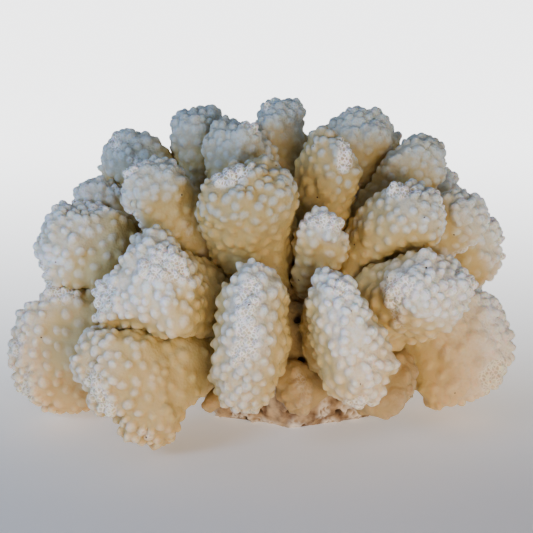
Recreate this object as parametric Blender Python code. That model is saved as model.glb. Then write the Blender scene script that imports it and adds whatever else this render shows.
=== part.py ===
"""Cauliflower coral: a bleached colony, cut off flat at its holdfast.

The colony grew as one skeleton. It is split here at its main forks: a holdfast, and the branches
that leave it. Each branch is a short stem that swells into a flattened lobe, covered in knobs.
+Z is up, and the origin is on the flat cut that the colony rests on, below its middle. The side
that is seen first faces -Y. Sizes in the tables are millimetres, and MM turns them into metres.
"""

import math
from collections import namedtuple

import bmesh
import bpy
import numpy as np

MM = 0.001

# Driving sizes of the colony
HOLDFAST_CENTRE = np.array([10.0, 2.0, 22.0])
HOLDFAST_RADII = np.array([38.0, 38.0, 36.0])
FOOT_GAP = 1.0
FOOT_RADIUS = 9.0
LARGEST_FOOT_SHARE = 0.36
STEM_SHARE = 0.9
LOBE_GAP = 3.4
KNOB_HEIGHT = 2.2
LARGEST_KNOB_SHARE = 0.09

# How round the shapes are
ROUND_POWER = 2.0
LOBE_POWER = 2.2
BLEND = 6.0
WAVE_HEIGHT = 1.6
WAVE_LENGTH = 26.0

# The icosphere that each branch is shaped from, and the rays that shape it
DETAIL = 3
FACES_KEPT = 0.81
FOOT_SHARE = 0.86
KNOBBED_SHARE = 0.62
LONGEST_RAY = 75.0
RAY_STEP = 0.5
SHORTEST_RAY = 1.5

FIELDS = "name centre facing width thickness height turn bulges taper"
Lobe = namedtuple("Lobe", FIELDS, defaults=((), 0.0))

# A lobe's centre is in the colony's frame, and its sizes are over the knobs. It faces (azimuth,
# elevation) in degrees: azimuth 0 is -Y and 90 is +X. Width runs up and down where turn is 0, and
# sideways where it is 90. Height is along the way it faces. Bulges are balls that round the lobe
# out, each (up or across its width, through its thickness, along its height, radius). Taper is the
# share of its thickness that a lobe loses from its middle to the upper end of its width, and a
# lobe with a taper below zero thins towards its lower end instead.
# Where two branches would meet, the one lower in this list gives way.
LOBES = (
    # The front, from left to right
    Lobe("front_blade", (-6, -64, 47), (-5, 6), 60, 31, 44, 3, taper=0.24),
    Lobe("front_right_blade", (28, -66, 48), (14, 6), 57, 25, 44, -14, ((-7, 7, 6, 11),), taper=0.25),
    Lobe("centre_finger", (19, -36, 73), (6, 58), 18, 17, 38, 0, ((0, 6, 3, 7),)),
    Lobe("middle_left_peak", (-40, -50, 62), (-42, 30), 36, 36, 40, -4,
         ((14, -3, 6, 8), (-10, -13, 4, 9), (-8, 12, -2, 9))),
    Lobe("front_left_fan", (-46, -54, 32), (-58, -6), 44, 31, 46, -10,
         ((-16, 6, 2, 12), (8, -4, 13, 10))),
    Lobe("right_shoulder", (57, -41, 57), (56, 18), 34, 32, 40, 10, ((0, -12, 4, 10),)),
    Lobe("left_fan", (-75, -24, 28), (-78, -4), 54, 29, 50, 8),
    Lobe("right_fan", (76, -16, 28), (84, 2), 49, 27, 42, 4, ((-17, -12, -8, 7),)),
    Lobe("centre_crest", (-9, -38, 89), (-20, 52), 39, 32, 39, 58, ((10, 2, 6, 9),), taper=-0.3),
    # The left side, upwards
    Lobe("left_shoulder", (-72, -16, 68), (-70, 30), 35, 33, 36, 0),
    Lobe("upper_left_knuckle", (-40, -22, 90), (-44, 50), 27, 25, 38, 10),
    Lobe("left_rear_knuckle", (-63, 4, 79), (-84, 36), 20, 19, 28, 30),
    Lobe("upper_left_crest", (-54, 16, 93), (-90, 60), 33, 25, 29, 80),
    # The top, from left to right
    Lobe("top_left_front", (-11, -8, 101), (-20, 72), 28, 25, 34, 80),
    Lobe("top_left_crest", (-25, 14, 101), (-60, 74), 28, 24, 34, 80),
    Lobe("top_knob", (5, 16, 104), (150, 84), 21, 20, 34, 0),
    Lobe("top_right_front", (23, -14, 97), (24, 64), 29, 22, 38, 0),
    Lobe("top_right_crest", (37, 20, 99), (80, 70), 28, 30, 34, 80),
    Lobe("upper_right_crest", (57, 4, 94), (80, 52), 26, 25, 32, 80),
    # The right side, downwards
    Lobe("right_crest", (51, -27, 81), (44, 42), 28, 30, 38, 80),
    Lobe("right_crest_end", (70, -11, 76), (72, 34), 22, 26, 34, 80),
    Lobe("right_rear_knuckle", (67, 26, 77), (104, 34), 22, 22, 30, 40),
    Lobe("right_rear_shoulder", (78, 10, 59), (92, 20), 33, 24, 36, 0),
    # Close to the cut: a low lobe and two stubs
    Lobe("low_right_lobe", (46, -35, 18), (44, 2), 32, 20, 28, 60),
    Lobe("left_stub", (-22, -38, 14), (-20, -70), 8, 7, 14, 0),
    Lobe("middle_stub", (13, -42, 21), (8, -50), 20, 12, 22, 0),
    # The back, low and then high
    Lobe("back_low_right", (70, 41, 32), (118, 4), 44, 32, 46, 0),
    Lobe("back_low_middle_right", (34, 64, 30), (152, 4), 46, 34, 46, 10),
    Lobe("back_low_middle_left", (-12, 66, 31), (190, 5), 45, 36, 46, -8),
    Lobe("back_low_left", (-56, 46, 32), (228, 5), 46, 34, 46, 0),
    Lobe("back_right", (54, 49, 66), (128, 30), 38, 31, 42, 20),
    Lobe("back_middle_right", (16, 56, 71), (166, 32), 40, 32, 42, -10),
    Lobe("back_middle_left", (-27, 53, 71), (206, 30), 38, 31, 42, 12),
    Lobe("back_left", (-62, 30, 61), (242, 28), 38, 31, 42, -20),
    Lobe("back_top_right", (27, 42, 86), (150, 58), 32, 27, 36, 60),
    Lobe("back_top_left", (-17, 40, 90), (192, 64), 31, 26, 36, 60),
)

# Balls that round the holdfast out, around the dome that the branches leave and the rim of its cut.
# Each is (x, y, z, radius) in the colony's frame
HOLDFAST_BULGES = (
    (12, -22, 9, 14),
    (34, -16, 10, 13),
    (-12, -16, 10, 13),
    (-20, 10, 10, 14),
    (8, 28, 10, 14),
    (35, 16, 10, 13),
)


def direction(azimuth, elevation):
    """The unit vector that faces this way, in degrees."""
    turn, rise = math.radians(azimuth), math.radians(elevation)
    return np.array([
        math.sin(turn) * math.cos(rise),
        -math.cos(turn) * math.cos(rise),
        math.sin(rise),
    ])


def unit(vectors):
    return vectors / np.maximum(np.linalg.norm(vectors, axis=-1, keepdims=True), 1e-9)


def lobe_axes(lobe):
    """Rows: across the width, through the thickness, and along the way the lobe faces."""
    azimuth, elevation = lobe.facing
    along = direction(azimuth, elevation)
    upwards = direction(azimuth, elevation + 90)
    sideways = direction(azimuth + 90, 0)
    turn = math.radians(lobe.turn)
    across = upwards * math.cos(turn) + sideways * math.sin(turn)
    through = sideways * math.cos(turn) - upwards * math.sin(turn)
    return np.array([across, through, along])


def knob_height(lobe):
    return min(KNOB_HEIGHT, LARGEST_KNOB_SHARE * lobe.thickness)


def half_sizes(lobe):
    """The half sizes of a lobe under its knobs."""
    return np.array([lobe.width, lobe.thickness, lobe.height]) / 2 - knob_height(lobe)


def blob_distance(points, centre, axes, radii, power, taper=0.0):
    """Roughly how far points are outside a rounded blob with these half sizes."""
    local = (points - centre) @ axes.T
    if taper:
        local[..., 1] /= 1 - taper * np.clip(local[..., 0] / radii[0], -1, 1)
    size = (np.abs(local / radii) ** power).sum(axis=-1) ** (1 / power)
    return np.linalg.norm(local, axis=-1) * (1 - 1 / np.maximum(size, 1e-6))


def ball_distance(points, centre, radius):
    return np.linalg.norm(points - centre, axis=-1) - radius


def stem_distance(points, foot, top, axes, foot_radius, top_radii):
    """Roughly how far points are outside a stem that is round at its foot and flat at its top."""
    way = top - foot
    share = np.clip((points - foot) @ way / (way @ way), 0, 1)[..., None]
    radii = foot_radius + (top_radii - foot_radius) * share
    return blob_distance(points, foot + share * way, axes, radii, ROUND_POWER)


def blended(first, second):
    """The union of two distances, rounded where they meet."""
    share = np.clip(0.5 + 0.5 * (second - first) / BLEND, 0, 1)
    return second + (first - second) * share - BLEND * share * (1 - share)


def waves(points):
    """A soft unevenness, which makes no two lobes the same."""
    return WAVE_HEIGHT * np.sin(points * (2 * math.pi / WAVE_LENGTH)).prod(axis=-1)


def foot_of(lobe):
    """Where the lobe's stem leaves the holdfast, a small gap above its dome."""
    way = unit(np.array(lobe.centre, float) - HOLDFAST_CENTRE)
    steps = np.arange(0.0, LONGEST_RAY, RAY_STEP)
    inside = holdfast_distance(HOLDFAST_CENTRE + way * steps[:, None]) < FOOT_GAP
    return HOLDFAST_CENTRE + way * (steps[inside].max() + RAY_STEP)


def branch_distance(points, lobe):
    """Roughly how far points are outside a branch, before its knobs."""
    axes = lobe_axes(lobe)
    centre = np.array(lobe.centre, float)
    distance = blob_distance(points, centre, axes, half_sizes(lobe), LOBE_POWER, lobe.taper)
    for *place, radius in lobe.bulges:
        distance = blended(distance, ball_distance(points, centre + place @ axes, radius))
    foot_radius = min(FOOT_RADIUS, LARGEST_FOOT_SHARE * lobe.thickness)
    top_radii = STEM_SHARE * half_sizes(lobe)
    stem = stem_distance(points, foot_of(lobe), centre, axes, foot_radius, top_radii)
    return blended(distance, stem) + waves(points)


def holdfast_distance(points):
    """Roughly how far points are outside the holdfast, before its cut."""
    distance = blob_distance(points, HOLDFAST_CENTRE, np.eye(3), HOLDFAST_RADII, ROUND_POWER)
    for *place, radius in HOLDFAST_BULGES:
        distance = blended(distance, ball_distance(points, np.array(place), radius))
    return distance + waves(points)


def ray_reach(starts, ways, distance_of):
    """How far each ray runs to its last point inside a shape, and every point tried on it."""
    steps = np.arange(0.0, LONGEST_RAY, RAY_STEP)
    points = starts[:, None, :] + ways[:, None, :] * steps[None, :, None]
    inside = distance_of(points) < 0
    last = inside.shape[1] - 1 - np.argmax(inside[:, ::-1], axis=1)
    return np.where(inside.any(axis=1), steps[last], SHORTEST_RAY), points


def free_reach(points, neighbours):
    """How far each ray runs before it is too near a neighbour."""
    steps = np.arange(0.0, LONGEST_RAY, RAY_STEP)
    blocked = holdfast_distance(points) < FOOT_GAP
    for neighbour in neighbours:
        blocked |= branch_distance(points, neighbour) < LOBE_GAP
    first = np.where(blocked.any(axis=1), steps[np.argmax(blocked, axis=1)], LONGEST_RAY)
    return np.maximum(first - RAY_STEP, SHORTEST_RAY)


def icosphere():
    mesh = bmesh.new()
    bmesh.ops.create_icosphere(mesh, subdivisions=DETAIL, radius=1.0)
    return mesh, unit(np.array([vertex.co for vertex in mesh.verts]))


def shaped_branch(lobe, sphere, neighbours):
    """Where the points of a unit sphere go on the branch, and which of them a neighbour stops.

    The upper half of the sphere becomes the lobe, by rays from its centre. The lower half follows
    the stem down, by rays square to it, and its last part is the flat foot.
    """
    axes = lobe_axes(lobe)
    centre = np.array(lobe.centre, float)
    foot = foot_of(lobe)
    path = unit(centre - foot)
    half = half_sizes(lobe)
    down = np.clip(-sphere[:, 2] / FOOT_SHARE, 0, 1)[:, None]
    starts = centre + (foot - centre) * down
    ways = (sphere * [1, 1, 0] * half) @ axes
    square = ways - (ways @ path)[:, None] * path
    upper = sphere[:, 2:] >= 0
    ways = unit(np.where(upper, (sphere * half) @ axes, square + (ways - square) * (1 - down)))

    def outside(points):
        return branch_distance(points, lobe)

    reach, points = ray_reach(starts, ways, outside)
    free = free_reach(points, neighbours)
    foot_disc = np.sqrt(np.clip(1 - sphere[:, 2] ** 2, 0, 1)) / math.sqrt(1 - FOOT_SHARE ** 2)
    shrink = np.where(-sphere[:, 2] > FOOT_SHARE, foot_disc, 1.0)
    places = starts + ways * (np.minimum(reach, free) * shrink)[:, None]
    return places, free < reach + knob_height(lobe)


def knob_vertices(mesh, sphere, crowded):
    """Points for knobs: none next to another, none on the stem, and none against a neighbour."""
    chosen = set()
    for vertex in mesh.verts:
        beside = {edge.other_vert(vertex).index for edge in vertex.link_edges}
        on_stem = sphere[vertex.index, 2] < -KNOBBED_SHARE
        if not (on_stem or crowded[vertex.index] or beside & chosen):
            chosen.add(vertex.index)
    return chosen


def branch_mesh(lobe, neighbours):
    mesh, sphere = icosphere()
    places, crowded = shaped_branch(lobe, sphere, neighbours)
    for vertex, place in zip(mesh.verts, places):
        vertex.co = place * MM
    mesh.verts.ensure_lookup_table()
    mesh.normal_update()
    bmesh.ops.recalc_face_normals(mesh, faces=mesh.faces[:])
    mesh.normal_update()
    raised = knob_vertices(mesh, sphere, crowded)
    shifts = {index: mesh.verts[index].normal * (knob_height(lobe) * MM) for index in raised}
    for index, shift in shifts.items():
        mesh.verts[index].co += shift
    return mesh


def holdfast_mesh():
    """The trunk that the branches leave, an uneven dome cut off flat at z = 0."""
    mesh, sphere = icosphere()
    starts = np.repeat(HOLDFAST_CENTRE[None, :], len(sphere), axis=0)
    reach, _ = ray_reach(starts, sphere, holdfast_distance)
    for vertex, place in zip(mesh.verts, starts + sphere * reach[:, None]):
        vertex.co = place * MM
    everything = mesh.verts[:] + mesh.edges[:] + mesh.faces[:]
    bmesh.ops.bisect_plane(
        mesh, geom=everything, plane_co=(0, 0, 0), plane_no=(0, 0, -1), clear_outer=True
    )
    rim = [edge for edge in mesh.edges if edge.is_boundary]
    bmesh.ops.edgeloop_fill(mesh, edges=rim)
    bmesh.ops.recalc_face_normals(mesh, faces=mesh.faces[:])
    bmesh.ops.triangulate(mesh, faces=mesh.faces[:])
    return mesh


def clear_scene():
    for thing in list(bpy.data.objects):
        bpy.data.objects.remove(thing)


def coral_material(name, colour, roughness):
    material = bpy.data.materials.new(name)
    material.use_nodes = True
    shader = material.node_tree.nodes["Principled BSDF"]
    shader.inputs["Base Color"].default_value = (*colour, 1.0)
    shader.inputs["Roughness"].default_value = roughness
    return material


def add_object(name, mesh, material, collection):
    data = bpy.data.meshes.new(name)
    mesh.to_mesh(data)
    mesh.free()
    data.materials.append(material)
    thing = bpy.data.objects.new(name, data)
    collection.objects.link(thing)
    return thing


def thin_out(thing):
    """Fewer faces where they are flattest: on the stem, and where a neighbour presses."""
    modifier = thing.modifiers.new("thin_out", "DECIMATE")
    modifier.ratio = FACES_KEPT


def build():
    clear_scene()
    collection = bpy.data.collections.new("cauliflower_coral")
    bpy.context.scene.collection.children.link(collection)
    ivory = coral_material("bleached_coral", (0.83, 0.77, 0.63), 0.6)
    tan = coral_material("holdfast_coral", (0.55, 0.42, 0.28), 0.85)
    add_object("holdfast", holdfast_mesh(), tan, collection)
    for place, lobe in enumerate(LOBES):
        branch = add_object(lobe.name, branch_mesh(lobe, LOBES[:place]), ivory, collection)
        thin_out(branch)


build()
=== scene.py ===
"""Cauliflower coral: a bleached colony of knobbed lobes on a rough holdfast, in soft studio light.

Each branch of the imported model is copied, evened out and smoothed. Then it grows towards its
neighbours, rises into clusters and knobs, and gets the values that its colours follow. Sizes in the
constants are millimetres, and MM turns them into metres. How far out a spot is runs from 0 where its
branch leaves the holdfast to 1 at its tip, and a pair of numbers named a range gives where something
starts and where it is full.
"""

import math

import bmesh
import bpy
import numpy as np
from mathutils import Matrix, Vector, noise
from mathutils.bvhtree import BVHTree
from mathutils.kdtree import KDTree


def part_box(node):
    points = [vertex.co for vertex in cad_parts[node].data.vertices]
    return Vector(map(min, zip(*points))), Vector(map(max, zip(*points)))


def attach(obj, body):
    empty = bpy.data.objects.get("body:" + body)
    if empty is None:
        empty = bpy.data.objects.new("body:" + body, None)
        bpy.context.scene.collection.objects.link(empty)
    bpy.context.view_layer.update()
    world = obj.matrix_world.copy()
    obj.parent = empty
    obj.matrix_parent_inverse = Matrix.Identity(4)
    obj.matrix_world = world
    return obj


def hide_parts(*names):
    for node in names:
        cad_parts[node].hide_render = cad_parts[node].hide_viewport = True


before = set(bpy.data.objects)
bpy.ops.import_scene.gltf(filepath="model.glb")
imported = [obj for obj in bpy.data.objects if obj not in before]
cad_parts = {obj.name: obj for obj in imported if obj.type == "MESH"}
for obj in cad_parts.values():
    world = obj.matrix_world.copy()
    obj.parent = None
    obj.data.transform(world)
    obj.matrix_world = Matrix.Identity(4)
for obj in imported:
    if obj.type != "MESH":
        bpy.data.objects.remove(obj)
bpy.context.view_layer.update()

MM = 0.001
SEED = 11

# The mesh that a branch starts from, and the share of its faces that the finished one keeps
VOXEL = 1.5
WELD_DISTANCE = 0.001
FACES_KEPT = 0.66
FINE_CREST = 0.62
SMOOTH_ROUNDS = 24
SMOOTH_SHARE = 0.5

# How far out a branch's foot ends, which stays as the solid has it
FOOT_RANGE = (0.06, 0.192)

# Where a branch's neck gives way to its flank, where its flat lobe starts, and where its tip does
FLANK_RANGE = (0.2, 0.6)
LOBE_START = 0.45
TIP_RANGE = (0.72, 0.95)

# How far out a branch's crest starts, how much further out it is full, and how it thins from the
# middle of the lobe's thickness to the side, as shares of half the thickness
CREST_START = 0.5
CREST_STARTS = {"front_blade": 0.2, "front_right_blade": 0.2}
CREST_RISE = 0.35
CREST_SIDE_RANGE = (0.1, 0.75)

# How much fuller a branch is than its solid, and how uneven. A line of three numbers here and below
# is for the neck, the flank and the rim
SWELL = (0.9, -0.3, -1.4)
LUMP_LENGTH = 14.0
LUMP_HEIGHT = 1.0
LUMPS_APART = 40.0

# Clusters of knobs, which scallop a lobe's edge
CLUSTER_SPACING = (11.0, 9.5, 8.0)
CLUSTER_SPACING_LIMITS = (5.0, 16.0)
CLUSTER_RADIUS = (5.0, 5.2, 5.4)
CLUSTER_RADIUS_SPREAD = (0.8, 1.2)
CLUSTER_HEIGHT = (0.2, 0.9, 2.6)
CLUSTER_HEIGHT_SPREAD = (0.5, 1.3)
CLUSTER_STEEPNESS = (0.9, 0.9, 0.8)

# Knobs, 3 to 5 mm apart: far apart and low on the neck and the flanks, close and tall on the rim
KNOB_SPACING = (4.7, 4.0, 3.1)
KNOB_SPACING_LIMITS = (2.6, 9.0)
KNOB_RADIUS = (2.4, 2.2, 1.8)
KNOB_RADIUS_SPREAD = (0.8, 1.25)
KNOB_HEIGHT = (1.1, 1.5, 2.2)
KNOB_HEIGHT_SPREAD = (0.7, 1.25)
KNOB_STEEPNESS = (1.2, 1.0, 0.55)
KNOBS_START = 0.06
KNOB_FADE_RANGE = (0.05, 0.85)

# The share of their height that knobs lose towards the top of the colony, and the heights between
# which they lose it
LOWER_KNOBS = 0.35
LOWER_KNOBS_RANGE = (70.0, 105.0)

# Clusters and knobs alike: how unevenly they are spaced, how long an oval one is beside its width,
# how much they lean outwards and any way, and how much a point rises along the surface's own way
# out and along its dome's axis
SPACING_SPREAD = 0.22
LONGEST_KNOB = 1.5
KNOB_LEAN = 0.8
KNOB_TILT = 0.1
RISE_SURFACE = 0.5
RISE_AXIS = 0.8

# The fine grain all over, which is fainter between the knobs
GRAIN_LENGTH = 1.3
GRAIN_HEIGHT = 0.3
GRAIN_BETWEEN = 0.3

# Branches grow towards each other: the widest gap they grow into, the gap they leave, the most that
# one grows, and how far out that stops
WIDEST_GAP = 28.0
GAP_LEFT = 3.0
MOST_GROWN = 9.0
GROWTH_ROUNDS = 10
GROWTH_STOPS = (0.4, 0.75)

# Branches that grow into the gaps at their tips as well, and those that stay clear of the others
REACHING = ("left_fan", "left_shoulder")
SLENDER = ("front_blade", "front_right_blade", "centre_finger")

# How much a branch's whole body is fuller or slimmer than the rest
FULLER = {"front_blade": -1.7, "front_right_blade": -1.0, "top_knob": 1.3, "top_left_crest": 1.5,
          "top_left_front": 0.6, "middle_stub": 0.8, "low_right_lobe": -1.0}

# Spots where one branch stands out further than its plain solid, or less far: x, y, z, how far the
# change reaches and how high it is
FILLED = {
    "front_blade": ((8, -64, 70, 10, 3.5), (-19, -64, 70, 9, 3.0), (12, -66, 30, 12, -2.5),
                    (-6, -66, 78, 7, 1.5)),
    "upper_left_crest": ((-41, 12, 98, 12, 4.0),),
    "middle_left_peak": ((-44, -64, 34, 12, -2.0), (-60, -46, 76, 11, -5.0),
                         (-20, -44, 78, 12, -5.0)),
    "left_fan": ((-71, -20, 52, 10, 4.0),),
    "front_left_fan": ((-47, -44, 47, 15, 4.0), (-27, -44, 47, 12, 4.0), (-73, -52, 34, 8, 2.5)),
    "centre_crest": ((8, -38, 62, 12, -1.5), (-26, -38, 62, 10, -1.5), (-24, -32, 102, 12, -6.0),
                     (2, -30, 107, 9, 2.0)),
    "top_right_crest": ((42, 14, 104, 12, 2.5),),
}

# Branches whose flanks have their knobs further apart
SPARSE = {"left_fan": 1.2, "front_left_fan": 1.05, "right_fan": 1.1, "left_shoulder": 1.1}

# Worn and overgrown pieces near the cut, with a tan skin and few knobs: how high their knobs are
# beside the others', and how much wider and further apart
WORN = {"left_stub": 0.3, "middle_stub": 0.9, "low_right_lobe": 1.0}
WORN_KNOBS_WIDER = 1.2

# How deep a spot lies between the branches, which sets the painted shade there: how far ahead of it
# to look for a neighbour, and how much that counts
LOOKS_AHEAD = ((4.0, 0.2), (9.0, 0.3), (17.0, 0.3), (30.0, 0.2))

# Clouds of colour on a branch, and the heights that count as high, where the skin and the frost are
# painted greyer and darker, as shade
CLOUD_LENGTH = 14.0
HIGH_RANGE = (60.0, 110.0)

# How low a spot counts, which turns it tan: at the cut, how soon that fades with height, and how
# much the clouds shift it
LOW_AT_CUT = 1.12
LOW_FADE = 60.0
LOW_CLOUD = 0.3

# Where the pores lie open: patches of the crest, fewer of them high up
OPEN_CLOUD = 1.3
OPEN_LOST_HIGH = 0.3
OPEN_RANGE = (0.8, 1.3)

# What frosts a spot white: the rim, a knob, a knob on the rim besides, being far out, and a cloud.
# Then what takes white away: painted shade deep between the branches, lying low, and a share
# everywhere
WHITE_RIM = 0.5
WHITE_KNOB = 0.33
WHITE_RIM_KNOB = 0.12
WHITE_OUT = 0.3
WHITE_CLOUD = 0.25
LOST_TO_RECESS_SHADE = 0.35
LOST_LOW = 0.2
LOST_ALL = 0.17

# How much more or less frosted a branch's skin is than the rest, partly its own frost and partly
# painted light and shade, whiter where a branch stands in more light and darker where it lies
# back in less, and the share of that which its knobs don't follow
FROST_AND_PAINTED_LIGHT = {"right_fan": 0.7, "left_fan": -0.15, "left_shoulder": -0.1, "right_shoulder": 0.1,
           "centre_crest": -0.4, "top_right_front": -0.4, "front_left_fan": -0.25,
           "middle_left_peak": -0.1, "front_blade": 0.05, "front_right_blade": 0.1,
           "right_crest": -0.2, "top_knob": 0.2, "top_left_crest": 0.1}
FROSTED_SKIN_ONLY = 0.7

# Branches with more painted shade, their skin browner as if they lay deeper between the others,
# and those with more painted grey shade, as if they stood higher
SHADED = {"centre_crest": 0.35, "top_right_front": 0.25, "front_left_fan": 0.25}
GREYER_PAINTED_SHADE = {"centre_crest": 0.5, "top_right_front": 0.35, "front_blade": 0.35, "front_left_fan": 0.15}

# Patterns in the skin. Pores are about 1 mm apart on the real skeleton, and their cups are drawn
# nearly so. Their lace and the frost's crystals are too fine to show, so both are drawn coarser
CUP_SPACING = 1.1
PORE_SPACING = 1.5
FROST_LENGTH = 1.6
SPECK_SPACING = 9.0
SPECK_SIZE = 0.045

# Patterns in the holdfast: its mottles, and the cups of old pores, about as far apart as real ones
MOTTLE_LENGTH = 7.0
OLD_CUP_SPACING = 1.3

# The holdfast: its mesh, how near the cut a point stays on it, and the least that others clear it by
ROCK_VOXEL = 0.75
ROCK_SMOOTH_ROUNDS = 10
CUT_SKIN = 0.8
LEAST_CLEARANCE = 0.05

# Its roughness, as lengths and heights of lumps, and the walls left standing between old pores. The
# pores are drawn 1.9 mm apart, coarser than the real 1 mm, because the mesh can't show those
ROCK_LUMPS = ((9.0, 1.8), (4.0, 1.4), (1.9, 0.8))
OLD_PORE_SPACING = 1.9
OLD_WALL_RANGE = (0.05, 0.45)
OLD_WALL_HEIGHT = 0.9
OLD_WALL_PATCH = 6.0
OLD_WALL_PATCH_RANGE = (-0.2, 0.3)

# The holes that worms and sponges bored in it
PIT_SPACING = (4.0, 10.0)
PIT_RADIUS = (0.9, 2.4)
PIT_EDGE_RANGE = (0.45, 1.0)
PIT_DEPTH = 2.6

# The heights between which the trunk turns from old brown to the golden inside of the colony, how
# uneven that line is, and the height of the middle that the branches grow from
INSIDE_RANGE = (12.0, 26.0)
INSIDE_CLOUD_LENGTH = 8.0
INSIDE_CLOUD_HEIGHT = 3.0
MIDDLE_HEIGHT = 22.0

# The studio: pale paper with a painted glow that grows further back, a dim room, and two soft
# boxes, each with its place, its size, its power in watts and its colour
PAPER_SIZE = 14000.0
PAPER_FORWARD = 1000.0
PAPER_GLOW = 3.5
PAPER_GLOW_RANGE = (-150.0, 550.0)
ROOM_LIGHT = 0.28
SOFT_BOXES = {
    "left_box": ((-460, -480, 300), 220, 2.6, "#B4D2FF"),
    "front_box": ((170, -580, 40), 300, 4.2, "#FFE6C8"),
}

# The camera, at the photograph's viewing angle: its rise is in degrees
CAMERA_DISTANCE = 650.0
CAMERA_RISE = 16.0
CAMERA_TARGET = (0.0, 0.0, 56.0)
CAMERA_LENS = 109.8
CAMERA_SENSOR = 36.0

# A Mix node's sockets for colours, which share their names with others: its factor, its two
# colours and its result
FACTOR = 0
UNDER = 6
OVER = 7
RESULT = 2


def linear(hex_colour):
    """An sRGB hex colour as the linear values that a shader takes."""
    values = []
    for place in (1, 3, 5):
        share = int(hex_colour[place:place + 2], 16) / 255
        values.append(share / 12.92 if share <= 0.04045 else ((share + 0.055) / 1.055) ** 2.4)
    return (*values, 1.0)


def node(tree, kind, settings=None, links=None):
    """Adds a node, sets its own values and its sockets', and links sockets to it."""
    made = tree.nodes.new(kind)
    for name, value in (settings or {}).items():
        if isinstance(name, int) or name in made.inputs:
            made.inputs[name].default_value = value
        else:
            setattr(made, name, value)
    for name, socket in (links or {}).items():
        tree.links.new(socket, made.inputs[name])
    return made


def eased(values, low, high):
    """0 at low, 1 at high, and smooth between them."""
    share = np.clip((values - low) / (high - low), 0, 1)
    return share * share * (3 - 2 * share)


def unit(vectors):
    """Vectors of length 1 along these."""
    return vectors / np.maximum(np.linalg.norm(vectors, axis=-1, keepdims=True), 1e-9)


def clouds(points, length):
    """Soft noise between -1 and 1, with lumps about this long."""
    return np.array([noise.noise(Vector(point / length)) for point in points])


def points_of(mesh):
    """A mesh's points in millimetres."""
    values = np.empty(len(mesh.vertices) * 3)
    mesh.vertices.foreach_get("co", values)
    return values.reshape(-1, 3) / MM


def move_points(mesh, points):
    """Puts a mesh's points at these places in millimetres."""
    mesh.vertices.foreach_set("co", (points * MM).ravel())
    mesh.update()


def normals_of(mesh):
    """Which way the surface faces at each point."""
    values = np.empty(len(mesh.vertices) * 3)
    mesh.vertices.foreach_get("normal", values)
    return values.reshape(-1, 3)


def edges_of(mesh):
    """The two points of each edge."""
    values = np.empty(len(mesh.edges) * 2, np.int32)
    mesh.edges.foreach_get("vertices", values)
    return values.reshape(-1, 2)


def keep_values(mesh, name, values):
    """Stores one number for each point, under a name that a material can read."""
    attribute = mesh.attributes.get(name) or mesh.attributes.new(name, "FLOAT", "POINT")
    attribute.data.foreach_set("value", values.astype(np.float32))


def kept_values(mesh, name):
    """The numbers that keep_values stored, also after a modifier has spread them."""
    values = np.empty(len(mesh.vertices), np.float32)
    mesh.attributes[name].data.foreach_get("value", values)
    return values.astype(float)


def modified(mesh, kind, **settings):
    """The mesh as this modifier leaves it."""
    scratch = bpy.data.objects.new("scratch", mesh)
    bpy.context.scene.collection.objects.link(scratch)
    modifier = scratch.modifiers.new(kind.lower(), kind)
    for name, value in settings.items():
        setattr(modifier, name, value)
    view = bpy.context.evaluated_depsgraph_get()
    made = bpy.data.meshes.new_from_object(scratch.evaluated_get(view))
    bpy.data.objects.remove(scratch)
    return made


def even_mesh(thing, voxel):
    """A closed mesh of evenly sized faces, in the shape of a node of the frame."""
    mesh = thing.data.copy()
    shape = bmesh.new()
    shape.from_mesh(mesh)
    bmesh.ops.remove_doubles(shape, verts=shape.verts[:], dist=WELD_DISTANCE * MM)
    shape.to_mesh(mesh)
    shape.free()
    return modified(mesh, "REMESH", mode="VOXEL", voxel_size=voxel * MM)


def halve_faces(mesh, chosen):
    """Divides the chosen faces in four, where the finest shapes go."""
    shape = bmesh.new()
    shape.from_mesh(mesh)
    shape.faces.ensure_lookup_table()
    edges = {edge for index in chosen for edge in shape.faces[index].edges}
    bmesh.ops.subdivide_edges(shape, edges=list(edges), cuts=1, use_grid_fill=True)
    shape.to_mesh(mesh)
    shape.free()


def finished(mesh, name):
    """The mesh thinned out where it is flattest, as a smooth piece of the scene."""
    mesh = modified(mesh, "DECIMATE", ratio=FACES_KEPT)
    mesh.shade_smooth()
    piece = bpy.data.objects.new(name + "_skeleton", mesh)
    bpy.context.scene.collection.objects.link(piece)
    return piece


def relaxed(points, edges, hold, rounds):
    """The points drawn towards their neighbours, less so where hold is near 1."""
    count = np.bincount(edges.ravel(), minlength=len(points))[:, None]
    pull = SMOOTH_SHARE * (1 - hold)[:, None]
    for _ in range(rounds):
        total = np.zeros_like(points)
        np.add.at(total, edges[:, 0], points[edges[:, 1]])
        np.add.at(total, edges[:, 1], points[edges[:, 0]])
        points = points + pull * (total / count - points)
    return points


def spread_out(values, edges, rounds):
    """One number for each point, evened out between neighbours."""
    return relaxed(values[:, None], edges, np.zeros(len(values)), rounds)[:, 0]


def scattered(points, spacing, rng):
    """Indices of points in random order, none nearer to an earlier one than its own spacing."""
    tree = KDTree(len(points))
    for index, point in enumerate(points):
        tree.insert(point, index)
    tree.balance()
    taken = np.zeros(len(points), bool)
    chosen = []
    for index in rng.permutation(len(points)):
        if not taken[index]:
            chosen.append(index)
            for _, near, _ in tree.find_range(points[index], spacing[index]):
                taken[near] = True
    return np.array(chosen)


def tree_of(things):
    """The meshes of these nodes as one tree of triangles."""
    points, faces = [], []
    for thing in things:
        start = len(points)
        points += [vertex.co / MM for vertex in thing.data.vertices]
        faces += [[start + index for index in face.vertices] for face in thing.data.polygons]
    return BVHTree.FromPolygons(points, faces)


def others_than(name):
    """The frame's nodes but one, as one tree of triangles."""
    return tree_of(thing for other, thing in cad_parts.items() if other != name)


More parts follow.
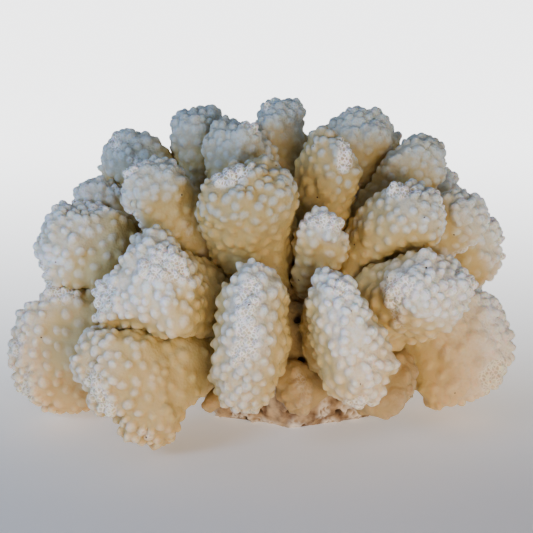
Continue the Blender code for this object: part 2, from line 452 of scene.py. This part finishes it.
def grown_together(points, normals, edges, others):
    """How far each point grows into the gap ahead of it, so that branches nearly touch."""
    grown = np.zeros(len(points))
    for index, (point, normal) in enumerate(zip(points, normals)):
        gap = others.ray_cast(Vector(point), Vector(normal), WIDEST_GAP)[3]
        if gap is not None:
            share = 1 - eased(gap, WIDEST_GAP / 2, WIDEST_GAP)
            grown[index] = min((gap - GAP_LEFT) / 2, MOST_GROWN) * share
    return spread_out(grown.clip(0), edges, GROWTH_ROUNDS)


def hiding(points, normals, colony):
    """For each point, from 0 in the open to 1 deep between the branches."""
    found = np.zeros(len(points))
    for step, weight in LOOKS_AHEAD:
        for index, ahead in enumerate(points + normals * step):
            place, facing, _, gap = colony.find_nearest(Vector(ahead))
            inside = (Vector(ahead) - place).dot(facing) < 0
            found[index] += weight * (1 if inside else max(0, 1 - gap / step))
    return found


class Growth:
    """Which way a branch grows: from the holdfast's middle out, and across its flat lobe."""

    def __init__(self, points, middle, crest_start):
        self.middle = middle
        self.crest_start = crest_start
        reach = np.linalg.norm(points - middle, axis=1)
        self.low = reach.min()
        self.high = reach.max()
        outer = points[self.outness(points) > LOBE_START]
        self.centre = outer.mean(axis=0)
        along = unit(self.centre - middle)
        flat = outer - self.centre
        flat = flat - (flat @ along)[:, None] * along
        _, ways = np.linalg.eigh(flat.T @ flat)
        self.through = unit(np.cross(along, ways[:, 2]))
        self.thickness = np.abs(flat @ self.through).max()

    def outness(self, points):
        """0 where the branch leaves the holdfast, and 1 at its tip."""
        reach = np.linalg.norm(points - self.middle, axis=1)
        return (reach - self.low) / (self.high - self.low)

    def crestness(self, points):
        """Near 1 along the lobe's outer edge, in the middle of its thickness."""
        off_middle = np.abs((points - self.centre) @ self.through) / self.thickness
        outer = eased(self.outness(points), self.crest_start, self.crest_start + CREST_RISE)
        return (1 - eased(off_middle, *CREST_SIDE_RANGE)) * outer

    def rimness(self, points):
        """Near 1 where knobs crowd: on the crest, and all over the tip."""
        return np.maximum(self.crestness(points), eased(self.outness(points), *TIP_RANGE))

    def places(self, points):
        """How much each point is past the neck, and how much it is on the rim, for by_place."""
        return eased(self.outness(points), *FLANK_RANGE), self.rimness(points)


def by_place(values, flank, rim):
    """A value that runs from the neck's to the flank's, and from there to the rim's."""
    neck_value, flank_value, rim_value = values
    between = neck_value + (flank_value - neck_value) * flank
    return between + (rim_value - between) * rim


def domes(points, seeds, axes, radius, height, steepness, rng):
    """Round and oval domes on some seeds: how high each point rises into the highest dome over it,
    which dome that is, and how near its middle the point is."""
    stretch = rng.uniform(1, LONGEST_KNOB, len(seeds)) ** 2
    lengthwise = unit(np.cross(axes, rng.normal(size=(len(seeds), 3))))
    order = np.argsort(points[:, 0])
    across = points[order, 0]
    rise = np.zeros(len(points))
    nearness = np.zeros(len(points))
    owner = np.zeros(len(points), int)
    for place, seed in enumerate(seeds):
        reach = radius[place] * LONGEST_KNOB
        first, last = np.searchsorted(across, (seed[0] - reach, seed[0] + reach))
        close = order[first:last]
        away = points[close] - seed
        length = (away @ lengthwise[place]) ** 2 * (1 - 1 / stretch[place])
        near = np.clip(1 - ((away ** 2).sum(axis=1) - length) / radius[place] ** 2, 0, 1)
        dome = height[place] * near ** steepness[place]
        higher = dome > rise[close]
        rise[close[higher]] = dome[higher]
        nearness[close[higher]] = near[higher]
        owner[close[higher]] = place
    return rise, owner, nearness


def rising_ways(normals, axes):
    """Which way points rise: between the surface's own way out and their dome's axis."""
    return unit(normals * RISE_SURFACE + axes * RISE_AXIS)


def clusters(points, normals, growth, rng):
    """How far and which way each point of a branch rises into a cluster, before its knobs."""
    places = growth.places(points)
    spacing = by_place(CLUSTER_SPACING, *places) * rng.normal(1, SPACING_SPREAD, len(points))
    chosen = scattered(points, spacing.clip(*CLUSTER_SPACING_LIMITS), rng)
    places = [place[chosen] for place in places]
    radius = by_place(CLUSTER_RADIUS, *places) * rng.uniform(*CLUSTER_RADIUS_SPREAD, len(chosen))
    height = by_place(CLUSTER_HEIGHT, *places) * rng.uniform(*CLUSTER_HEIGHT_SPREAD, len(chosen))
    axes = unit(normals[chosen] + unit(points[chosen] - growth.middle) * KNOB_LEAN)
    steepness = by_place(CLUSTER_STEEPNESS, *places)
    rise, owner, _ = domes(points, points[chosen], axes, radius, height, steepness, rng)
    return rising_ways(normals, axes[owner]) * rise[:, None]


def knobs(points, normals, growth, seeds, seed_normals, worn, apart, rng):
    """How far and which way each point rises into a knob, and how near its knob's middle it is."""
    out = growth.outness(seeds)
    flank, rim = growth.places(seeds)
    spacing = by_place(KNOB_SPACING, flank, rim) * rng.normal(1, SPACING_SPREAD, len(seeds))
    spacing *= (1 + (apart - 1) * (1 - rim)) * (WORN_KNOBS_WIDER if worn else 1)
    chosen = scattered(seeds, spacing.clip(*KNOB_SPACING_LIMITS), rng)
    chosen = chosen[out[chosen] > KNOBS_START]
    flank, rim = flank[chosen], rim[chosen] * (not worn)
    radius = by_place(KNOB_RADIUS, flank, rim) * rng.uniform(*KNOB_RADIUS_SPREAD, len(chosen))
    height = by_place(KNOB_HEIGHT, flank, rim) * rng.uniform(*KNOB_HEIGHT_SPREAD, len(chosen))
    height *= (worn or 1) * (1 - LOWER_KNOBS * eased(seeds[chosen, 2], *LOWER_KNOBS_RANGE))
    steepness = by_place(KNOB_STEEPNESS, flank, rim)
    if worn:
        radius = radius * WORN_KNOBS_WIDER
        steepness = np.ones(len(chosen))
    lean = unit(seeds[chosen] - growth.middle) * (0 if worn else KNOB_LEAN)
    axes = unit(seed_normals[chosen] + lean + rng.normal(0, KNOB_TILT, (len(chosen), 3)))
    rise, owner, nearness = domes(points, seeds[chosen], axes, radius, height, steepness, rng)
    return rise, rising_ways(normals, axes[owner]), eased(nearness, *KNOB_FADE_RANGE)


def fill_out(mesh, name, growth, number):
    """Smooths a branch and swells it to its full body, but for its foot. Gives its new points, and
    how free of the foot each of them is."""
    solid = points_of(mesh)
    edges = edges_of(mesh)
    hold = 1 - eased(growth.outness(solid), *FOOT_RANGE)
    points = relaxed(solid, edges, hold, SMOOTH_ROUNDS)
    move_points(mesh, points)
    normals = normals_of(mesh)
    lost = spread_out(((solid - points) * normals).sum(axis=1), edges, SMOOTH_ROUNDS)
    grown = grown_together(points, normals, edges, others_than(name))
    grown *= 1 - eased(growth.outness(points), *GROWTH_STOPS) * (name not in REACHING)
    grown *= name not in SLENDER
    swell = lost + by_place(SWELL, *growth.places(points))
    swell += FULLER.get(name, 0.0)
    for *spot, reach, height in FILLED.get(name, ()):
        apart = np.linalg.norm(points - spot, axis=1) / reach
        swell += height * np.exp(-apart ** 2)
    swell += LUMP_HEIGHT * clouds(points + LUMPS_APART * number, LUMP_LENGTH)
    free = (1 - hold)[:, None]
    return points + normals * (swell + grown)[:, None] * free, free


def keep_colour_values(mesh, name, points, growth, knob, cloud):
    """Stores what a branch's material reads: how white, open, low, high and worn each point is, and
    how deep it lies for the painted shade there. The points are those from before the knobs."""
    rim = growth.rimness(points)
    out = growth.outness(points)
    high = eased(points[:, 2], *HIGH_RANGE)
    low = np.clip(LOW_AT_CUT - points[:, 2] / LOW_FADE + LOW_CLOUD * cloud, 0, 1)
    # Painted shade: deeper between the branches, and on some whole branches, the skin is browner and
    # less white
    recess_shade = kept_values(mesh, "recess_shade") + SHADED.get(name, 0.0)
    open_share = growth.crestness(points) + OPEN_CLOUD * cloud - OPEN_LOST_HIGH * high
    white = WHITE_RIM * rim + (WHITE_KNOB + WHITE_RIM_KNOB * rim) * knob
    white = white + WHITE_OUT * out + WHITE_CLOUD * cloud
    white -= LOST_TO_RECESS_SHADE * recess_shade + LOST_LOW * low + LOST_ALL
    # Partly painted light and shade: a branch's whole skin made whiter or darker than the rest
    white += FROST_AND_PAINTED_LIGHT.get(name, 0.0) * out * (1 - FROSTED_SKIN_ONLY * knob)
    keep_values(mesh, "white", np.clip(white, 0, 1))
    keep_values(mesh, "open", eased(open_share, *OPEN_RANGE))
    keep_values(mesh, "low", low)
    # Painted shade: the skin and the frost turn greyer and darker high up, and more so on some
    # branches
    keep_values(mesh, "high", np.clip(high + GREYER_PAINTED_SHADE.get(name, 0.0), 0, 1))
    keep_values(mesh, "recess_shade", np.clip(recess_shade, 0, 1))
    keep_values(mesh, "worn", np.full(len(points), float(name in WORN)))


def branch(name, colony, middle, number):
    """One branch of the colony, with its clusters and knobs, in place of its plain solid."""
    rng = np.random.default_rng(SEED + number)
    worn = WORN.get(name, 0.0)
    coarse = even_mesh(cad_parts[name], VOXEL)
    growth = Growth(points_of(coarse), middle, CREST_STARTS.get(name, CREST_START))
    body, free = fill_out(coarse, name, growth, number)
    move_points(coarse, body)
    body = body + clusters(body, normals_of(coarse), growth, rng) * free * (not worn)
    move_points(coarse, body)
    body_normals = normals_of(coarse)
    # How deep each point lies between the branches, for the painted shade there
    keep_values(coarse, "recess_shade", hiding(body, body_normals, colony))
    fine = modified(coarse, "SUBSURF", levels=1, render_levels=1)
    face_points = np.array([face.center for face in fine.polygons]) / MM
    halve_faces(fine, np.flatnonzero(growth.crestness(face_points) > FINE_CREST))
    points = points_of(fine)
    normals = normals_of(fine)
    rise, ways, knob = knobs(
        points, normals, growth, body, body_normals, worn, SPARSE.get(name, 1.0), rng
    )
    grain = clouds(points, GRAIN_LENGTH) * GRAIN_HEIGHT * (GRAIN_BETWEEN + knob)
    move_points(fine, points + ways * rise[:, None] + normals * grain[:, None])
    keep_colour_values(fine, name, points, growth, knob, clouds(points, CLOUD_LENGTH))
    return finished(fine, name)


def holdfast():
    """The trunk: rough, pored and bored, but flat where it was cut."""
    rng = np.random.default_rng(SEED)
    mesh = even_mesh(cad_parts["holdfast"], ROCK_VOXEL)
    points = points_of(mesh)
    on_cut = points[:, 2] < CUT_SKIN
    points = relaxed(points, edges_of(mesh), on_cut.astype(float), ROCK_SMOOTH_ROUNDS)
    move_points(mesh, points)
    lumps = sum(height * clouds(points, length) for length, height in ROCK_LUMPS)
    pores = np.array([noise.voronoi(Vector(point / OLD_PORE_SPACING))[0][:2] for point in points])
    wall = 1 - eased(pores[:, 1] - pores[:, 0], *OLD_WALL_RANGE)
    wall = wall * eased(clouds(points, OLD_WALL_PATCH), *OLD_WALL_PATCH_RANGE)
    pit = np.zeros(len(points))
    for index in scattered(points, rng.uniform(*PIT_SPACING, len(points)), rng):
        far = np.linalg.norm(points - points[index], axis=1) / rng.uniform(*PIT_RADIUS)
        pit = np.maximum(pit, 1 - eased(far, *PIT_EDGE_RANGE))
    line = INSIDE_CLOUD_HEIGHT * clouds(points, INSIDE_CLOUD_LENGTH)
    inside = eased(points[:, 2] + line, *INSIDE_RANGE)
    rise = (lumps + OLD_WALL_HEIGHT * wall - PIT_DEPTH * pit) * ~on_cut
    points = points + normals_of(mesh) * rise[:, None]
    points[:, 2] = np.where(on_cut, 0.0, np.maximum(points[:, 2], LEAST_CLEARANCE))
    move_points(mesh, points)
    keep_values(mesh, "pit", pit)
    keep_values(mesh, "inside", inside)
    keep_values(mesh, "wall", wall)
    return finished(mesh, "holdfast")


def new_material(name, settings):
    """A material with these values on its shader's sockets: itself, its nodes and its shader."""
    material = bpy.data.materials.new(name)
    material.use_nodes = True
    shader = material.node_tree.nodes["Principled BSDF"]
    for socket, value in settings.items():
        shader.inputs[socket].default_value = value
    return material, material.node_tree, shader


def aragonite():
    """Bleached aragonite skeleton, grown in fine layers: frosted white at the rims and knobs,
    golden and a little translucent on the flanks, and painted shade: browner deep between the
    branches and greyer high up."""
    material, tree, shader = new_material("bleached_aragonite", {
        "IOR": 1.55, "Subsurface Weight": 0.75, "Subsurface Radius": (1.0, 0.7, 0.4),
        "Subsurface Scale": 3.0 * MM,
    })
    place = node(tree, "ShaderNodeTexCoord").outputs["Object"]
    read = {
        name: node(tree, "ShaderNodeAttribute", {"attribute_name": name}).outputs["Fac"]
        for name in ("white", "open", "low", "high", "worn", "recess_shade")
    }

    # The frost: white where the branch's values say so, broken up by crystals and pore cups
    frost = node(tree, "ShaderNodeTexNoise", {"Scale": 1 / (FROST_LENGTH * MM), "Detail": 2.0},
                 {"Vector": place}).outputs["Fac"]
    cups = node(tree, "ShaderNodeTexVoronoi", {"Scale": 1 / (CUP_SPACING * MM)},
                {"Vector": place}).outputs["Distance"]
    broken = node(tree, "ShaderNodeMath", {"operation": "MULTIPLY_ADD", 1: 0.9, 2: 0.4},
                  {0: frost}).outputs[0]
    broken = node(tree, "ShaderNodeMath", {"operation": "MULTIPLY_ADD", 1: 0.4},
                  {0: cups, 2: broken}).outputs[0]
    white = node(tree, "ShaderNodeMath", {"operation": "MULTIPLY", "use_clamp": True},
                 {0: read["white"], 1: broken}).outputs[0]

    # The lace of open pores on the crests: walls around each of them, and painted shade in the pores
    # between the walls
    pores = node(tree, "ShaderNodeTexVoronoi",
                 {"feature": "DISTANCE_TO_EDGE", "Scale": 1 / (PORE_SPACING * MM)},
                 {"Vector": place}).outputs["Distance"]
    walls = node(tree, "ShaderNodeMapRange",
                 {"interpolation_type": "SMOOTHSTEP", "From Min": 0.06, "From Max": 0.22,
                  "To Min": 1.0, "To Max": 0.0}, {"Value": pores}).outputs[0]
    walls = node(tree, "ShaderNodeMath", {"operation": "MULTIPLY"},
                 {0: walls, 1: read["open"]}).outputs[0]
    pored = node(tree, "ShaderNodeMath", {"operation": "MULTIPLY", 1: 0.5},
                 {0: read["open"]}).outputs[0]

    # The worn skin near the cut, and dark specks of what once lived on it
    worn = node(tree, "ShaderNodeMath", {"operation": "MULTIPLY", 1: 0.75},
                {0: read["worn"]}).outputs[0]
    specks = node(tree, "ShaderNodeTexVoronoi", {"Scale": 1 / (SPECK_SPACING * MM)},
                  {"Vector": place}).outputs["Distance"]
    specks = node(tree, "ShaderNodeMath", {"operation": "LESS_THAN", 1: SPECK_SIZE},
                  {0: specks}).outputs[0]

    # The colours: golden skin, the pale frost over it, and the walls of the lace, each of them warmer
    # near the cut. High up the skin and the frost are painted greyer and darker as shade, and deep
    # between the branches the skin is painted browner as shade
    skin = node(tree, "ShaderNodeMix",
                {"data_type": "RGBA", UNDER: linear("#D6C086"), OVER: linear("#D8B174")},
                {FACTOR: read["low"]}).outputs[RESULT]
    # Painted shade on the skin: greyer high up, and browner deep between the branches
    for value, over in (("high", "#B3A77F"), ("recess_shade", "#BBA262")):
        skin = node(tree, "ShaderNodeMix", {"data_type": "RGBA", OVER: linear(over)},
                    {FACTOR: read[value], UNDER: skin}).outputs[RESULT]
    # The frost: white, with a painted cool tint of light from above on it, and warmer near the cut
    pale = node(tree, "ShaderNodeMix",
                {"data_type": "RGBA", UNDER: linear("#E6EFF6"), OVER: linear("#EFD6B2")},
                {FACTOR: read["low"]}).outputs[RESULT]
    # Painted shade on the frost: greyer and darker high up
    pale = node(tree, "ShaderNodeMix", {"data_type": "RGBA", OVER: linear("#B9C7CA")},
                {FACTOR: read["high"], UNDER: pale}).outputs[RESULT]
    wall_colour = node(tree, "ShaderNodeMix",
                       {"data_type": "RGBA", UNDER: linear("#FFFFFF"), OVER: linear("#FBEBD2")},
                       {FACTOR: read["low"]}).outputs[RESULT]
    colour = node(tree, "ShaderNodeMix", {"data_type": "RGBA"},
                  {FACTOR: white, UNDER: skin, OVER: pale}).outputs[RESULT]
    # Painted shade in the open pores: a greyer tan between the lace's walls
    colour = node(tree, "ShaderNodeMix", {"data_type": "RGBA", OVER: linear("#BFB298")},
                  {FACTOR: pored, UNDER: colour}).outputs[RESULT]
    colour = node(tree, "ShaderNodeMix", {"data_type": "RGBA"},
                  {FACTOR: walls, UNDER: colour, OVER: wall_colour}).outputs[RESULT]
    for share, over in ((worn, "#AD8F5C"), (specks, "#4A3524")):
        colour = node(tree, "ShaderNodeMix", {"data_type": "RGBA", OVER: linear(over)},
                      {FACTOR: share, UNDER: colour}).outputs[RESULT]
    tree.links.new(colour, shader.inputs["Base Color"])

    # Relief too fine for the mesh, and a gloss that the frost dulls
    strength = node(tree, "ShaderNodeMapRange", {"To Min": 0.3, "To Max": 0.8},
                    {"Value": white}).outputs[0]
    relief = node(tree, "ShaderNodeBump", {"Distance": 0.5 * MM},
                  {"Strength": strength, "Height": cups}).outputs["Normal"]
    relief = node(tree, "ShaderNodeBump", {"Strength": 0.35, "Distance": 0.3 * MM},
                  {"Height": walls, "Normal": relief}).outputs["Normal"]
    tree.links.new(relief, shader.inputs["Normal"])
    rough = node(tree, "ShaderNodeMapRange", {"To Min": 0.62, "To Max": 0.9},
                 {"Value": frost}).outputs[0]
    tree.links.new(rough, shader.inputs["Roughness"])
    return material


def old_aragonite():
    """Dead aragonite near the cut, bored and eroded: chalky, mottled tan and brown, with paler
    walls between its old pores, dark holes, and the golden inside of the colony further up."""
    material, tree, shader = new_material("old_bored_aragonite", {"Roughness": 0.9})
    place = node(tree, "ShaderNodeTexCoord").outputs["Object"]
    read = {
        name: node(tree, "ShaderNodeAttribute", {"attribute_name": name}).outputs["Fac"]
        for name in ("pit", "wall", "inside")
    }
    mottles = node(tree, "ShaderNodeTexNoise", {"Scale": 1 / (MOTTLE_LENGTH * MM), "Detail": 6.0},
                   {"Vector": place}).outputs["Fac"]
    mottles = node(tree, "ShaderNodeMapRange", {"From Min": 0.38, "From Max": 0.62},
                   {"Value": mottles}).outputs[0]
    walls = node(tree, "ShaderNodeMath", {"operation": "MULTIPLY", 1: 0.85},
                 {0: read["wall"]}).outputs[0]
    colour = node(tree, "ShaderNodeMix",
                  {"data_type": "RGBA", UNDER: linear("#684A2E"), OVER: linear("#C2A47C")},
                  {FACTOR: mottles}).outputs[RESULT]
    for share, over in ((walls, "#EFE2D0"), (read["inside"], "#C4A467"), (read["pit"], "#3E2A1B")):
        colour = node(tree, "ShaderNodeMix", {"data_type": "RGBA", OVER: linear(over)},
                      {FACTOR: share, UNDER: colour}).outputs[RESULT]
    tree.links.new(colour, shader.inputs["Base Color"])
    cups = node(tree, "ShaderNodeTexVoronoi", {"Scale": 1 / (OLD_CUP_SPACING * MM)},
                {"Vector": place}).outputs["Distance"]
    relief = node(tree, "ShaderNodeBump", {"Strength": 0.6, "Distance": 0.4 * MM},
                  {"Height": cups}).outputs["Normal"]
    tree.links.new(relief, shader.inputs["Normal"])
    return material


def paper_with_painted_glow():
    """Matt off-white paper with a painted glow that grows further back, so that it ends in plain
    white.
    """
    material, tree, shader = new_material("paper_with_painted_glow", {
        "Base Color": linear("#F2EEE8"), "Roughness": 0.9, "Emission Color": linear("#FFFFFF"),
    })
    place = node(tree, "ShaderNodeNewGeometry").outputs["Position"]
    back = node(tree, "ShaderNodeSeparateXYZ", None, {"Vector": place}).outputs["Y"]
    first, last = PAPER_GLOW_RANGE
    # Painted light: the paper glows, more the further back it lies
    glow = node(tree, "ShaderNodeMapRange",
                {"interpolation_type": "SMOOTHSTEP", "From Min": first * MM, "From Max": last * MM,
                 "To Max": PAPER_GLOW}, {"Value": back}).outputs[0]
    tree.links.new(glow, shader.inputs["Emission Strength"])
    return material


def soft_box(name, place, size, power, colour):
    """A square soft light that faces the coral."""
    light = bpy.data.lights.new(name, "AREA")
    light.size = size * MM
    light.energy = power
    light.color = linear(colour)[:3]
    lamp = bpy.data.objects.new(name, light)
    lamp.location = Vector(place) * MM
    aim = Vector(CAMERA_TARGET) * MM - lamp.location
    lamp.rotation_euler = aim.to_track_quat("-Z", "Y").to_euler()
    bpy.context.scene.collection.objects.link(lamp)


def studio():
    """A sheet of paper to stand on, a dim bluish room, and the soft boxes."""
    bpy.ops.mesh.primitive_plane_add(size=PAPER_SIZE * MM, location=(0, -PAPER_FORWARD * MM, 0))
    floor = bpy.context.object
    floor.name = "floor"
    floor.data.materials.append(paper_with_painted_glow())
    world = bpy.data.worlds.new("soft_room")
    bpy.context.scene.world = world
    world.use_nodes = True
    room = world.node_tree.nodes["Background"]
    room.inputs["Color"].default_value = linear("#D5E4FF")
    room.inputs["Strength"].default_value = ROOM_LIGHT
    for name, facts in SOFT_BOXES.items():
        soft_box(name, *facts)


def camera():
    """Looks slightly down on the coral, from in front."""
    data = bpy.data.cameras.new("camera")
    data.lens = CAMERA_LENS
    data.sensor_width = CAMERA_SENSOR
    thing = bpy.data.objects.new("camera", data)
    rise = math.radians(CAMERA_RISE)
    back = Vector((0, -math.cos(rise), math.sin(rise)))
    thing.location = (Vector(CAMERA_TARGET) + back * CAMERA_DISTANCE) * MM
    thing.rotation_euler = (-back).to_track_quat("-Z", "Y").to_euler()
    bpy.context.scene.collection.objects.link(thing)
    bpy.context.scene.camera = thing


def dress(piece, finish, name):
    """Gives a piece its material, and puts it in place of its plain solid."""
    piece.data.materials.clear()
    piece.data.materials.append(finish)
    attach(piece, "root")
    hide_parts(name)


def build():
    """The whole scene: the branches, the holdfast, the studio and the camera."""
    low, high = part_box("holdfast")
    middle = np.array((low + high) / 2) / MM
    middle[2] = MIDDLE_HEIGHT
    colony = tree_of(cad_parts.values())
    branch_finish = aragonite()
    for number, name in enumerate(sorted(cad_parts)):
        if name != "holdfast":
            piece = branch(name, colony, middle, number)
            dress(piece, branch_finish, name)
    dress(holdfast(), old_aragonite(), "holdfast")
    studio()
    camera()


build()
